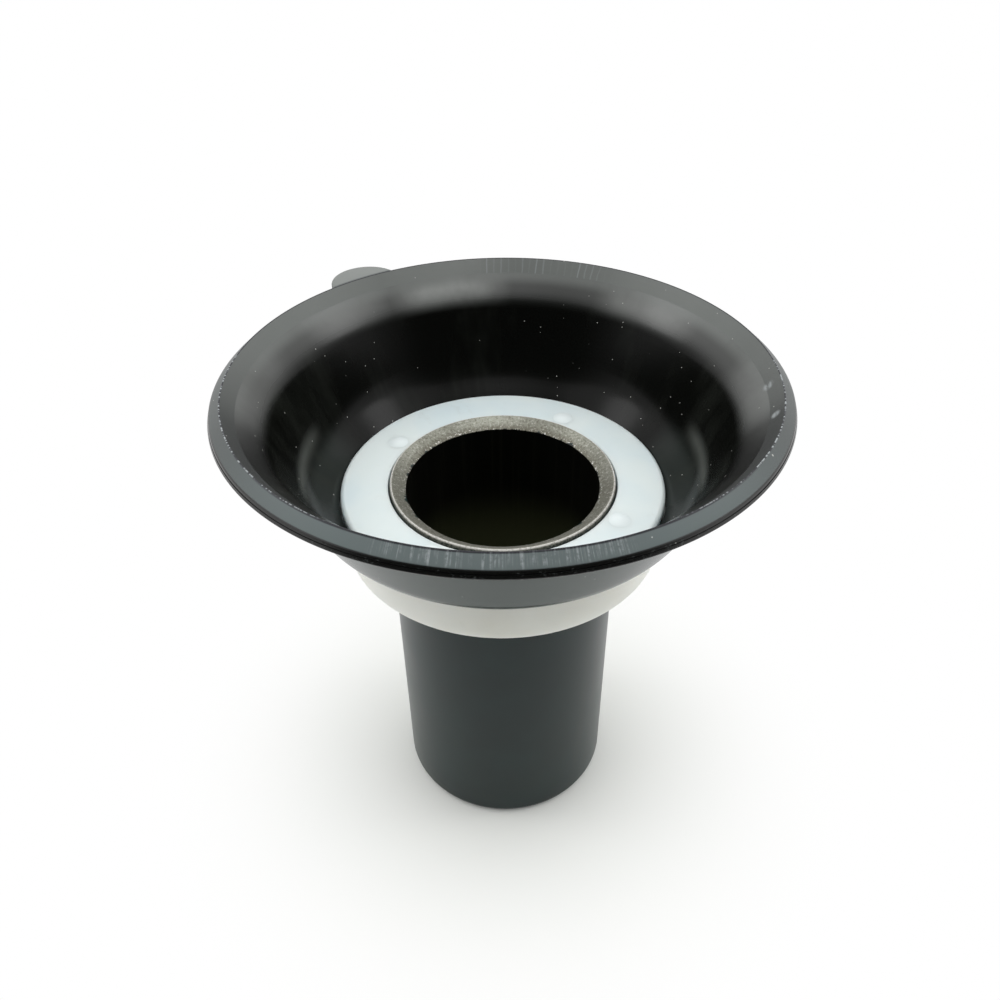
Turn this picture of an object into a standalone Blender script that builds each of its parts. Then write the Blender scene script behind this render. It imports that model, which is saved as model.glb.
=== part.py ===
"""Carburettor vacuum slide with its rubber diaphragm.

A hollow aluminium slide carries a rubber cup. The cup's inner flange is held between two
nylon rings: pegs moulded on the lower ring pass up through the flange and the upper ring
and end in low domed heads. The rings stand on a shoulder turned on the slide.

Units are metres, +Z is up, and the origin is on the slide's axis at its foot.
"""

import math

import bmesh
import bpy
from mathutils import Vector

MM = 0.001

# Clearances
SEAT_GAP = 0.1 * MM  # between faces stacked on one another
FIT_GAP = 0.15 * MM  # round the slide's neck and round the clamp ring's edge
PEG_GAP = 0.1 * MM  # round each peg's shank

# Slide: a tube closed at the foot
BODY_RADIUS = 12.0 * MM
SHOULDER_WIDTH = 0.43 * MM  # the neck above it is turned down for the rings
NECK_WALL = 1.62 * MM
SHOULDER_HEIGHT = 34.92 * MM
FLOOR_THICKNESS = 3.0 * MM
FOOT_ROUND = 1.0 * MM
BORE_FLOOR_ROUND = 1.2 * MM
LIP_STAND = 0.34 * MM  # how far the lip stands above the upper ring
LIP_EDGE_CHAMFER = 0.16 * MM
COUNTERSINK_DEPTH = 0.9 * MM
COUNTERSINK_WIDTH = 1.28 * MM
NEEDLE_HOLE_RADIUS = 1.4 * MM
NEEDLE_BOSS_RADIUS = 3.7 * MM
NEEDLE_BOSS_HEIGHT = 2.0 * MM
PORT_RADIUS = 1.6 * MM
PORT_ANGLE = math.radians(-90.0)

# Clamp rings
RING_WIDTH = 4.83 * MM  # from the ring's bore to its edge, the same for both
LOWER_RING_HEIGHT = 4.35 * MM
LOWER_RING_DRAFT = 0.14 * MM
LOWER_RING_ROUND = 0.3 * MM
UPPER_RING_HEIGHT = 1.15 * MM
UPPER_RING_ROUND = 0.5 * MM
RING_BREAK = 0.12 * MM  # small edges of the rings

# Pegs on the lower ring
PEG_COUNT = 4
PEG_PLACE = 0.306  # share of the ring's width, from its bore
PEG_START_ANGLE = math.radians(58.7)
PEG_RADIUS = 0.7 * MM
PEG_ROOT_DEPTH = 1.0 * MM
PEG_HEAD_RADIUS = 1.0 * MM
PEG_HEAD_HEIGHT = 0.36 * MM

# Rubber cup: flange, knee, steep wall, flare and bead, each measured from the one before
RUBBER_FLANGE = 0.6 * MM
RUBBER_SKIRT = 0.95 * MM
RUBBER_WALL = 0.75 * MM
ROOT_OVERHANG = 0.35 * MM  # how far the flange runs past the rings
ROOT_ROUND = 1.2 * MM
KNEE_OUT = 3.3 * MM
KNEE_RISE = 2.93 * MM
KNEE_ROUND = 3.0 * MM
FLARE_OUT = 3.1 * MM
FLARE_RISE = 7.5 * MM
FLARE_ROUND = 3.5 * MM
RIM_OUT = 2.85 * MM
RIM_RISE = 4.28 * MM

# Bead: a squarish section whose top is a sharp edge between two sloping faces
BEVEL_WIDTH = 1.12 * MM  # inner face, sharp edge to crease
BEVEL_DROP = 1.37 * MM
CREASE_LEDGE = 0.12 * MM
FACE_WIDTH = 1.1 * MM  # outer face, sharp edge to the narrow side band
FACE_DROP = 0.99 * MM
BAND_WIDTH = 0.2 * MM
BAND_DROP = 0.58 * MM
HEEL_WIDTH = 0.75 * MM  # slope from the band in to the flat underside
BEAD_HEIGHT = 2.33 * MM
BEAD_ROUND = 0.25 * MM

# Locating ear on the bead
EAR_ANGLE = math.radians(126.6)
EAR_RADIUS = 3.8 * MM
EAR_REACH = 3.27 * MM  # from the sharp edge to the ear's tip
EAR_ROOT = 0.4 * MM  # from the sharp edge inwards to where the ear starts
EAR_THICKNESS = 1.9 * MM
EAR_DROP = 0.08 * MM  # below the sharp edge
EAR_ROUND = 0.3 * MM

# Facets round a full turn
RUBBER_STEPS = 88
TURNED_STEPS = 64
SMALL_STEPS = 16
ARC_STEP = math.radians(22.5)  # angle of one facet on a rounded corner
MERGE = 0.00001

# Heights, worked out from the foot up
LOWER_RING_BOTTOM = SHOULDER_HEIGHT + SEAT_GAP
LOWER_RING_TOP = LOWER_RING_BOTTOM + LOWER_RING_HEIGHT
FLANGE_BOTTOM = LOWER_RING_TOP + SEAT_GAP
FLANGE_TOP = FLANGE_BOTTOM + RUBBER_FLANGE
UPPER_RING_BOTTOM = FLANGE_TOP + SEAT_GAP
UPPER_RING_TOP = UPPER_RING_BOTTOM + UPPER_RING_HEIGHT
LIP_HEIGHT = UPPER_RING_TOP + LIP_STAND

# Radii, worked out from the body outwards and inwards
NECK_RADIUS = BODY_RADIUS - SHOULDER_WIDTH
BORE_RADIUS = NECK_RADIUS - NECK_WALL
PORT_OFFSET = (NEEDLE_BOSS_RADIUS + BORE_RADIUS) / 2
RING_BORE_RADIUS = NECK_RADIUS + FIT_GAP
RING_RADIUS = RING_BORE_RADIUS + RING_WIDTH
PEG_CIRCLE_RADIUS = RING_BORE_RADIUS + PEG_PLACE * RING_WIDTH
PEG_HOLE_RADIUS = PEG_RADIUS + PEG_GAP
RIM_RADIUS = RING_RADIUS + KNEE_OUT + FLARE_OUT + RIM_OUT
RIM_HEIGHT = FLANGE_BOTTOM + KNEE_RISE + FLARE_RISE + RIM_RISE


def clear_scene():
    for thing in list(bpy.data.objects):
        bpy.data.objects.remove(thing, do_unlink=True)


def new_collection(name):
    collection = bpy.data.collections.new(name)
    bpy.context.scene.collection.children.link(collection)
    return collection


def new_material(name, colour, roughness, metallic=0.0):
    material = bpy.data.materials.new(name)
    material.use_nodes = True
    shader = material.node_tree.nodes["Principled BSDF"]
    shader.inputs["Base Color"].default_value = (*colour, 1.0)
    shader.inputs["Roughness"].default_value = roughness
    shader.inputs["Metallic"].default_value = metallic
    material.diffuse_color = (*colour, 1.0)
    return material


def rounded_path(corners):
    """Points of a closed outline. Each corner is (radius from axis, height, rounding)."""
    points = []
    for index, (x, z, rounding) in enumerate(corners):
        corner = Vector((x, z))
        before = Vector(corners[index - 1][:2])
        after = Vector(corners[(index + 1) % len(corners)][:2])
        to_before = (before - corner).normalized()
        to_after = (after - corner).normalized()
        inside = to_before.angle(to_after)
        turn = math.pi - inside
        if rounding <= 0.0 or turn < 0.01:
            points.append(corner)
            continue
        longest = 0.45 * min((before - corner).length, (after - corner).length)
        reach = min(rounding * math.tan(turn / 2), longest)
        radius = reach / math.tan(turn / 2)
        middle = corner + (to_before + to_after).normalized() * (radius / math.sin(inside / 2))
        start = corner + to_before * reach - middle
        facets = 1 if rounding <= RING_BREAK else max(2, math.ceil(turn / ARC_STEP))
        side = math.copysign(1.0, -to_before.cross(to_after))
        for facet in range(facets + 1):
            angle = side * turn * facet / facets
            cosine, sine = math.cos(angle), math.sin(angle)
            point = Vector((start.x * cosine - start.y * sine, start.x * sine + start.y * cosine))
            points.append(middle + point)
    return points


def crossing(point_a, along_a, point_b, along_b):
    """Where two lines, each given by a point and a direction, cross."""
    factor = (point_b - point_a).cross(along_b) / along_a.cross(along_b)
    return point_a + along_a * factor


def set_back(point_a, point_b, distance):
    """The line from point_a to point_b, moved to its left by distance."""
    along = (point_b - point_a).normalized()
    return point_a + Vector((-along.y, along.x)) * distance, along


def turned(name, outline, steps, material, collection):
    """A solid of revolution about Z from a closed outline in the XZ plane."""
    mesh = bpy.data.meshes.new(name)
    vertices = [(point.x, 0.0, point.y) for point in outline]
    edges = [(index, (index + 1) % len(vertices)) for index in range(len(vertices))]
    mesh.from_pydata(vertices, edges, [])
    thing = bpy.data.objects.new(name, mesh)
    collection.objects.link(thing)
    if material:
        mesh.materials.append(material)
    screw = thing.modifiers.new("Turn", "SCREW")
    screw.axis = "Z"
    screw.angle = 2 * math.pi
    screw.steps = steps
    screw.render_steps = steps
    screw.use_merge_vertices = True
    screw.merge_threshold = MERGE
    screw.use_smooth_shade = True
    return thing


def rod(name, radius, bottom, top, place, collection, edge_round=0.0):
    """An upright cylinder with its axis through place, which is (x, y)."""
    mesh = bpy.data.meshes.new(name)
    shape = bmesh.new()
    bmesh.ops.create_cone(
        shape,
        cap_ends=True,
        segments=SMALL_STEPS * 2 if edge_round else SMALL_STEPS,
        radius1=radius,
        radius2=radius,
        depth=top - bottom,
    )
    shape.to_mesh(mesh)
    shape.free()
    thing = bpy.data.objects.new(name, mesh)
    thing.location = (place[0], place[1], (top + bottom) / 2)
    collection.objects.link(thing)
    if edge_round:
        bevel = thing.modifiers.new("Round", "BEVEL")
        bevel.width = edge_round
        bevel.segments = 2
        bevel.limit_method = "ANGLE"
    return thing


def join_in(things, name, collection):
    """One object from several meshes that stay separate bodies inside it."""
    mesh = bpy.data.meshes.new(name)
    shape = bmesh.new()
    bpy.context.view_layer.update()
    graph = bpy.context.evaluated_depsgraph_get()
    for thing in things:
        evaluated = bpy.data.meshes.new_from_object(thing.evaluated_get(graph))
        evaluated.transform(thing.matrix_world)
        shape.from_mesh(evaluated)
        bpy.data.meshes.remove(evaluated)
        bpy.data.objects.remove(thing, do_unlink=True)
    shape.to_mesh(mesh)
    shape.free()
    joined = bpy.data.objects.new(name, mesh)
    collection.objects.link(joined)
    return joined


def hide_helper(thing):
    thing.hide_render = True
    thing.display_type = "WIRE"


def combine(target, helper, operation):
    boolean = target.modifiers.new(helper.name, "BOOLEAN")
    boolean.operation = operation
    boolean.solver = "EXACT"
    boolean.object = helper
    hide_helper(helper)


def ring_place(index):
    """Where peg number index stands, as (x, y)."""
    angle = PEG_START_ANGLE + 2 * math.pi * index / PEG_COUNT
    return PEG_CIRCLE_RADIUS * math.cos(angle), PEG_CIRCLE_RADIUS * math.sin(angle)


def build_slide(collection, cutters, material):
    lip_outer = NECK_RADIUS - LIP_EDGE_CHAMFER
    countersink_top = BORE_RADIUS + COUNTERSINK_WIDTH
    boss_top = FLOOR_THICKNESS + NEEDLE_BOSS_HEIGHT
    outline = rounded_path(
        [
            (lip_outer, LIP_HEIGHT, 0.0),
            (NECK_RADIUS, LIP_HEIGHT - LIP_EDGE_CHAMFER, 0.0),
            (NECK_RADIUS, SHOULDER_HEIGHT, 0.0),
            (BODY_RADIUS, SHOULDER_HEIGHT, RING_BREAK),
            (BODY_RADIUS, 0.0, FOOT_ROUND),
            (NEEDLE_HOLE_RADIUS, 0.0, RING_BREAK),
            (NEEDLE_HOLE_RADIUS, boss_top, RING_BREAK),
            (NEEDLE_BOSS_RADIUS, boss_top, RING_BREAK),
            (NEEDLE_BOSS_RADIUS, FLOOR_THICKNESS, 0.0),
            (BORE_RADIUS, FLOOR_THICKNESS, BORE_FLOOR_ROUND),
            (BORE_RADIUS, LIP_HEIGHT - COUNTERSINK_DEPTH, 0.0),
            (countersink_top, LIP_HEIGHT, 0.0),
        ]
    )
    slide = turned("slide", outline, TURNED_STEPS, material, collection)
    place = (PORT_OFFSET * math.cos(PORT_ANGLE), PORT_OFFSET * math.sin(PORT_ANGLE))
    port = rod("port_cutter", PORT_RADIUS, -FLOOR_THICKNESS, 2 * FLOOR_THICKNESS, place, cutters)
    combine(slide, port, "DIFFERENCE")
    return slide


def build_lower_ring(collection, cutters, material):
    foot_radius = RING_RADIUS - LOWER_RING_DRAFT
    outline = rounded_path(
        [
            (RING_BORE_RADIUS, LOWER_RING_TOP, RING_BREAK),
            (RING_RADIUS, LOWER_RING_TOP, LOWER_RING_ROUND),
            (foot_radius, LOWER_RING_BOTTOM, LOWER_RING_ROUND),
            (RING_BORE_RADIUS, LOWER_RING_BOTTOM, RING_BREAK),
        ]
    )
    ring = turned("lower_clamp_ring", outline, TURNED_STEPS, material, collection)
    pegs = [build_peg(f"peg_{index}", ring_place(index), cutters) for index in range(PEG_COUNT)]
    combine(ring, join_in(pegs, "pegs", cutters), "UNION")
    return ring


def build_peg(name, place, collection):
    """A round peg whose low domed head sits over the upper ring."""
    head_bottom = UPPER_RING_TOP + SEAT_GAP / 2
    root = LOWER_RING_TOP - PEG_ROOT_DEPTH
    sphere = (PEG_HEAD_RADIUS**2 + PEG_HEAD_HEIGHT**2) / (2 * PEG_HEAD_HEIGHT)
    widest = math.asin(PEG_HEAD_RADIUS / sphere)
    rings = 4
    dome = [
        Vector(
            (
                sphere * math.sin(widest * step / rings),
                head_bottom + PEG_HEAD_HEIGHT - sphere * (1 - math.cos(widest * step / rings)),
            )
        )
        for step in range(rings + 1)
    ]
    shank = [Vector((PEG_RADIUS, head_bottom)), Vector((PEG_RADIUS, root)), Vector((0.0, root))]
    peg = turned(name, dome + shank, SMALL_STEPS, None, collection)
    peg.location = (place[0], place[1], 0.0)
    return peg


def cut_peg_holes(target, cutters):
    name = f"{target.name}_peg_holes"
    rods = []
    for index in range(PEG_COUNT):
        hole = rod(f"{name}_{index}", PEG_HOLE_RADIUS, LOWER_RING_BOTTOM, RIM_HEIGHT,
                   ring_place(index), cutters)
        rods.append(hole)
    combine(target, join_in(rods, name, cutters), "DIFFERENCE")


def build_upper_ring(collection, cutters, material):
    outline = rounded_path(
        [
            (RING_BORE_RADIUS, UPPER_RING_TOP, RING_BREAK),
            (RING_RADIUS, UPPER_RING_TOP, UPPER_RING_ROUND),
            (RING_RADIUS, UPPER_RING_BOTTOM, RING_BREAK),
            (RING_BORE_RADIUS, UPPER_RING_BOTTOM, RING_BREAK),
        ]
    )
    ring = turned("upper_clamp_ring", outline, TURNED_STEPS, material, collection)
    cut_peg_holes(ring, cutters)
    return ring


def rubber_outline():
    """The cup's section before the bead's inner face is cut.

    The outer side climbs from the flange by the knee and the flare to the bead; the inner
    side is the same line set back by the wall.
    """
    flange_inner = NECK_RADIUS + 2 * FIT_GAP
    step_radius = RING_RADIUS + FIT_GAP
    root = Vector((RING_RADIUS + ROOT_OVERHANG, FLANGE_BOTTOM))
    knee = Vector((RING_RADIUS + KNEE_OUT, FLANGE_BOTTOM + KNEE_RISE))
    flare = knee + Vector((FLARE_OUT, FLARE_RISE))
    edge = Vector((RIM_RADIUS, RIM_HEIGHT))
    crease = edge - Vector((BEVEL_WIDTH, BEVEL_DROP))
    underside = RIM_HEIGHT - BEAD_HEIGHT

    inner_skirt, skirt_along = set_back(root, knee, RUBBER_SKIRT)
    inner_wall, wall_along = set_back(knee, flare, RUBBER_WALL)
    inner_knee = crossing(inner_skirt, skirt_along, inner_wall, wall_along)
    flare_top = crease - Vector((CREASE_LEDGE, 0.0))
    # The flare is drawn to the crease, and its outer side lies one wall outside that
    inner_flare = flare + Vector((-wall_along.y, wall_along.x)) * RUBBER_WALL
    flare_along = (flare_top - inner_flare).normalized()
    outer_flare_top = crossing(flare, flare_along, Vector((0.0, underside)), Vector((1.0, 0.0)))
    step = crossing(inner_skirt, skirt_along, Vector((step_radius, 0.0)), Vector((0.0, 1.0)))

    face_foot = edge + Vector((FACE_WIDTH, -FACE_DROP))
    band_foot = face_foot + Vector((BAND_WIDTH, -BAND_DROP))
    apex = edge + (edge - face_foot) * 0.5
    return rounded_path(
        [
            (apex.x, apex.y, 0.0),
            (face_foot.x, face_foot.y, BEAD_ROUND / 2),
            (band_foot.x, band_foot.y, BEAD_ROUND),
            (band_foot.x - HEEL_WIDTH, underside, BEAD_ROUND),
            (outer_flare_top.x, underside, BEAD_ROUND),
            (flare.x, flare.y, FLARE_ROUND + RUBBER_WALL),
            (knee.x, knee.y, KNEE_ROUND + RUBBER_WALL),
            (root.x, root.y, ROOT_ROUND),
            (flange_inner, FLANGE_BOTTOM, 0.0),
            (flange_inner, FLANGE_TOP, 0.0),
            (step_radius, FLANGE_TOP, 0.0),
            (step_radius, step.y, RING_BREAK),
            (inner_knee.x, inner_knee.y, KNEE_ROUND),
            (inner_flare.x, inner_flare.y, FLARE_ROUND),
            (flare_top.x, flare_top.y, 0.0),
            (flare_top.x, apex.y - BEVEL_DROP, 0.0),
        ]
    )


def build_diaphragm(collection, cutters, material):
    cup = turned("diaphragm", rubber_outline(), RUBBER_STEPS, material, collection)

    # The ear is a rounded tab, level with the bead
    ear_top = RIM_HEIGHT - EAR_DROP
    distance = RIM_RADIUS + EAR_REACH - EAR_RADIUS
    place = (distance * math.cos(EAR_ANGLE), distance * math.sin(EAR_ANGLE))
    ear_bottom = ear_top - EAR_THICKNESS
    ear = rod("ear", EAR_RADIUS, ear_bottom, ear_top, place, cutters, EAR_ROUND)
    trim_radius = RIM_RADIUS - EAR_ROOT
    trim = rod("ear_trim", trim_radius, FLANGE_TOP, 2 * RIM_HEIGHT, (0.0, 0.0), cutters, EAR_ROUND)
    combine(ear, trim, "DIFFERENCE")
    combine(cup, ear, "UNION")

    # One cone cuts the inner face of bead and ear, so that the face runs into the ear
    slope = BEVEL_WIDTH / BEVEL_DROP
    foot = RIM_RADIUS - BEVEL_WIDTH
    rise = 2 * BEVEL_DROP
    outline = [
        Vector((0.0, RIM_HEIGHT - BEVEL_DROP + rise)),
        Vector((foot + slope * rise, RIM_HEIGHT - BEVEL_DROP + rise)),
        Vector((foot, RIM_HEIGHT - BEVEL_DROP)),
        Vector((0.0, RIM_HEIGHT - BEVEL_DROP)),
    ]
    cone = turned("bevel_cutter", outline, RUBBER_STEPS, None, cutters)
    combine(cup, cone, "DIFFERENCE")
    cut_peg_holes(cup, cutters)
    return cup


def main():
    clear_scene()
    parts = new_collection("vacuum_slide_with_diaphragm")
    cutters = new_collection("cutters")

    anodised = new_material("dark anodised aluminium", (0.045, 0.052, 0.056), 0.38, 0.6)
    rubber = new_material("black rubber", (0.02, 0.021, 0.022), 0.35)
    nylon_top = new_material("milky nylon", (0.68, 0.76, 0.80), 0.35)
    nylon_low = new_material("natural nylon", (0.66, 0.67, 0.65), 0.4)

    build_slide(parts, cutters, anodised)
    build_lower_ring(parts, cutters, nylon_low)
    build_upper_ring(parts, cutters, nylon_top)
    build_diaphragm(parts, cutters, rubber)


main()
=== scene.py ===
import math
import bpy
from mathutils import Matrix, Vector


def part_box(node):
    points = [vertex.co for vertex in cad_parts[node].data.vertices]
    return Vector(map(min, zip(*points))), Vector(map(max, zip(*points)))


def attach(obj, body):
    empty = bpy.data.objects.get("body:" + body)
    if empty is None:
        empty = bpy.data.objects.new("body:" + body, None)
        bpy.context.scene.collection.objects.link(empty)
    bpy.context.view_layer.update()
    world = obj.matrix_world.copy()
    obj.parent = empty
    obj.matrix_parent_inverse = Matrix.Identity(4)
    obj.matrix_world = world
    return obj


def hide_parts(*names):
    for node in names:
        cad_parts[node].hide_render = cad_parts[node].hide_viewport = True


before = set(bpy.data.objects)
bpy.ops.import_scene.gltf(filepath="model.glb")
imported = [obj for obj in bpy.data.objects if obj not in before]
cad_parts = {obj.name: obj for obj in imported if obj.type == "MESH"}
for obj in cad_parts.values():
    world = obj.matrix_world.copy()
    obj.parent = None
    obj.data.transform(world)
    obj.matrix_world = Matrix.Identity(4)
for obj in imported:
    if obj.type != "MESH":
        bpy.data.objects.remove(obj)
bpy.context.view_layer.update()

from types import SimpleNamespace

import bmesh
import bpy
from mathutils import Matrix, Vector

mm = 0.001

# the solids say how big each piece is
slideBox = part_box("slide")
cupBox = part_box("diaphragm")
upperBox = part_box("upper_clamp_ring")
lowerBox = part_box("lower_clamp_ring")
seatGap = 0.1 * mm  # between pieces that sit on one another
overcut = 1 * mm  # how far a cutting tool stands out of what it cuts


# camera first, at the photo's viewing angle
view = {
    "back": 73.09 * mm,  # how far in front of the axis
    "up": 96.03 * mm,
    "pitch": 38.191,  # degrees down
    "yaw": 0.233,
    "roll": -0.776,
    "lens": 32.02,
    "sensor": 36,
    "near": 1 * mm,
    "far": 5,
}


def setCamera():
    data = bpy.data.cameras.new("photoCamera")
    data.lens = view["lens"]
    data.sensor_width = view["sensor"]
    data.clip_start = view["near"]
    data.clip_end = view["far"]
    cam = bpy.data.objects.new("photoCamera", data)
    bpy.context.scene.collection.objects.link(cam)
    aim = Matrix.Rotation(math.radians(view["yaw"]), 4, "Z")
    tilt = Matrix.Rotation(math.radians(90 - view["pitch"]), 4, "X")
    roll = Matrix.Rotation(math.radians(view["roll"]), 4, "Z")
    cam.matrix_world = Matrix.Translation((0, -view["back"], view["up"])) @ aim @ tilt @ roll
    bpy.context.scene.camera = cam


setCamera()
print("camera set")


# mesh helpers: turned pieces are a closed section swept round the axis
def roundCorners(corners, step=6):
    # each corner is (radius, height, rounding); step is degrees a facet
    out = []
    for i, (r, z, rounding) in enumerate(corners):
        here = Vector((r, z))
        last = Vector(corners[i - 1][:2])
        following = Vector(corners[(i + 1) % len(corners)][:2])
        toLast = (last - here).normalized()
        toNext = (following - here).normalized()
        inside = toLast.angle(toNext)
        turn = math.pi - inside
        if rounding <= 0 or turn < 0.01:
            out.append(here)
            continue
        longest = 0.45 * min((last - here).length, (following - here).length)
        reach = min(rounding * math.tan(turn / 2), longest)
        radius = reach / math.tan(turn / 2)
        centre = here + (toLast + toNext).normalized() * (radius / math.sin(inside / 2))
        start = here + toLast * reach - centre
        side = math.copysign(1, -toLast.cross(toNext))
        facets = max(3, math.ceil(math.degrees(turn) / step))
        for k in range(facets + 1):
            a = side * turn * k / facets
            turned = Vector((start.x * math.cos(a) - start.y * math.sin(a),
                             start.x * math.sin(a) + start.y * math.cos(a)))
            out.append(centre + turned)
    return out


def fillIn(path, longest):
    # long straight stretches get extra points, so that shading stays even
    out = []
    for i, p in enumerate(path):
        q = path[(i + 1) % len(path)]
        cuts = max(1, math.ceil((q - p).length / longest))
        out += [p.lerp(q, k / cuts) for k in range(cuts)]
    return out


def turnSection(name, path, around):
    mesh = bmesh.new()
    columns = []
    for i in range(around):
        a = 2 * math.pi * i / around
        columns.append([mesh.verts.new((p.x * math.cos(a), p.x * math.sin(a), p.y)) for p in path])
    for i in range(around):
        here, there = columns[i], columns[(i + 1) % around]
        for k in range(len(path)):
            n = (k + 1) % len(path)
            if path[k].x > 0 or path[n].x > 0:  # along the axis there is nothing to sweep
                mesh.faces.new((here[k], here[n], there[n], there[k]))
    bmesh.ops.remove_doubles(mesh, verts=mesh.verts, dist=1e-8)
    bmesh.ops.recalc_face_normals(mesh, faces=mesh.faces)
    return meshToObject(name, mesh)


def meshToObject(name, mesh):
    data = bpy.data.meshes.new(name)
    mesh.to_mesh(data)
    mesh.free()
    obj = bpy.data.objects.new(name, data)
    bpy.context.scene.collection.objects.link(obj)
    return obj


def roundPeg(name, x, y, section, around=40):
    peg = turnSection(name, section, around)
    peg.data.transform(Matrix.Translation((x, y, 0)))
    return peg


def holeSection(radius, high, low):
    return [Vector((radius, high)), Vector((radius, low)), Vector((0, low)), Vector((0, high))]


def cutOrJoin(obj, tools, operation):
    # every tool is used up
    for tool in tools:
        step = obj.modifiers.new(operation, "BOOLEAN")
        step.operation = operation
        step.solver = "EXACT"
        step.object = tool
    bpy.context.view_layer.update()
    solid = bpy.data.meshes.new_from_object(obj.evaluated_get(bpy.context.evaluated_depsgraph_get()))
    obj.modifiers.clear()
    obj.data = solid
    for tool in tools:
        bpy.data.objects.remove(tool, do_unlink=True)


def smoothExcept(obj, degrees):
    obj.data.shade_smooth()
    obj.data.set_sharp_from_angle(angle=math.radians(degrees))


# node helpers
def rgb(r, g, b):
    # screen values 0-255 to the linear colour that a shader takes
    return tuple(((c / 255 + 0.055) / 1.055) ** 2.4 if c > 10 else c / 255 / 12.92 for c in (r, g, b)) + (1,)


def addNode(tree, kind, inputs=None, **settings):
    node = tree.nodes.new(kind)
    for key, value in settings.items():
        setattr(node, key, value)
    for key, value in (inputs or {}).items():
        if isinstance(value, bpy.types.NodeSocket):
            tree.links.new(value, node.inputs[key])
        else:
            node.inputs[key].default_value = value
    return node


def calc(tree, operation, a, b=0.0):
    return addNode(tree, "ShaderNodeMath", {0: a, 1: b}, operation=operation).outputs[0]


def add(tree, *values):
    out = values[0]
    for value in values[1:]:
        out = calc(tree, "ADD", out, value)
    return out


def many(tree, *factors):
    out = factors[0]
    for factor in factors[1:]:
        out = calc(tree, "MULTIPLY", out, factor)
    return out


def most(tree, *values):
    out = values[0]
    for value in values[1:]:
        out = calc(tree, "MAXIMUM", out, value)
    return out


def without(tree, factor):
    return calc(tree, "SUBTRACT", 1.0, factor)


def ramp(tree, value, low, high, outLow=0.0, outHigh=1.0):
    # smooth step from low to high
    node = addNode(tree, "ShaderNodeMapRange", {"Value": value, "From Min": low, "From Max": high,
                                                "To Min": outLow, "To Max": outHigh},
                   interpolation_type="SMOOTHSTEP")
    return node.outputs["Result"]


def blendColor(tree, factor, a, b):
    return addNode(tree, "ShaderNodeMix", {0: factor, 6: a, 7: b}, data_type="RGBA").outputs[2]


def band(tree, value, low, high, soft):
    # 1 from low to high, fading over soft
    return many(tree, ramp(tree, value, low - soft, low + soft), ramp(tree, value, high + soft, high - soft))


def noise(tree, vector, scale, detail=4.0, rough=0.5):
    node = addNode(tree, "ShaderNodeTexNoise", {"Vector": vector, "Scale": scale, "Detail": detail,
                                                "Roughness": rough})
    return node.outputs["Fac"]


def roundCoords(tree):
    # place in metres, and round the axis: radius, height and angle
    place = addNode(tree, "ShaderNodeTexCoord").outputs["Object"]
    xyz = addNode(tree, "ShaderNodeSeparateXYZ", {0: place}).outputs
    flat = addNode(tree, "ShaderNodeCombineXYZ", {0: xyz[0], 1: xyz[1]}).outputs[0]
    radius = addNode(tree, "ShaderNodeVectorMath", {0: flat}, operation="LENGTH").outputs["Value"]
    angle = calc(tree, "ARCTAN2", xyz[1], xyz[0])
    return SimpleNamespace(place=place, flat=flat, radius=radius, height=xyz[2], angle=angle)


def turnedNoise(tree, at, perTurn, perMetre, across=0.0, detail=3, rough=0.6):
    # grain that follows the turning: fine or coarse round, up and outwards
    x = many(tree, calc(tree, "COSINE", at.angle), perTurn)
    y = many(tree, calc(tree, "SINE", at.angle), perTurn)
    up = many(tree, at.height, perMetre)
    if across:
        up = add(tree, up, many(tree, at.radius, across))
    vector = addNode(tree, "ShaderNodeCombineXYZ", {0: x, 1: y, 2: up}).outputs[0]
    return noise(tree, vector, 1.0, detail, rough)


def sector(tree, at, centre, reach, soft):
    # 1 within reach degrees of centre round the axis, fading over soft degrees
    turn = calc(tree, "COSINE", calc(tree, "SUBTRACT", at.angle, math.radians(centre)))
    return ramp(tree, turn, math.cos(math.radians(reach + soft)), math.cos(math.radians(reach)))


def sectors(tree, at, places):
    return most(tree, *[sector(tree, at, *place) for place in places])


def towardsBack(tree, at, low, high):
    # low and high are sines of the angle round, from -1 in front to 1 behind
    return ramp(tree, calc(tree, "SINE", at.angle), low, high)


def specks(tree, at, apart, size, keep):
    # small round specks: one in each cell of a cell pattern, of which only some are kept
    cells = addNode(tree, "ShaderNodeTexVoronoi", {"Vector": at.place, "Scale": 1 / apart})
    chosen = addNode(tree, "ShaderNodeSeparateColor", {0: cells.outputs["Color"]}).outputs[0]
    dot = ramp(tree, cells.outputs["Distance"], size / apart, 0.4 * size / apart)
    return many(tree, dot, calc(tree, "LESS_THAN", chosen, keep))


def ticks(tree, at, count, wander):
    # short marks across the rim, each one stronger or weaker than the next
    phase = add(tree, many(tree, at.angle, count / (2 * math.pi)), wander)
    own = addNode(tree, "ShaderNodeTexWhiteNoise", {"W": calc(tree, "FLOOR", phase)}, noise_dimensions="1D")
    middle = calc(tree, "ABSOLUTE", calc(tree, "SUBTRACT", calc(tree, "FRACT", phase), 0.5))
    return ramp(tree, middle, 0.15, 0.03), own.outputs["Value"]


def addBump(tree, shader, height, strength, distance):
    bump = addNode(tree, "ShaderNodeBump", {"Height": height, "Strength": strength, "Distance": distance})
    tree.links.new(bump.outputs[0], shader.inputs["Normal"])


def newMaterial(name):
    mat = bpy.data.materials.new(name)
    mat.use_nodes = True
    return mat, mat.node_tree, mat.node_tree.nodes["Principled BSDF"]


def finishPiece(obj, sharpFrom, material, node):
    # every piece stands still with the part's one body
    smoothExcept(obj, sharpFrom)
    obj.data.materials.append(material)
    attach(obj, "root")
    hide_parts(node)


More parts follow.
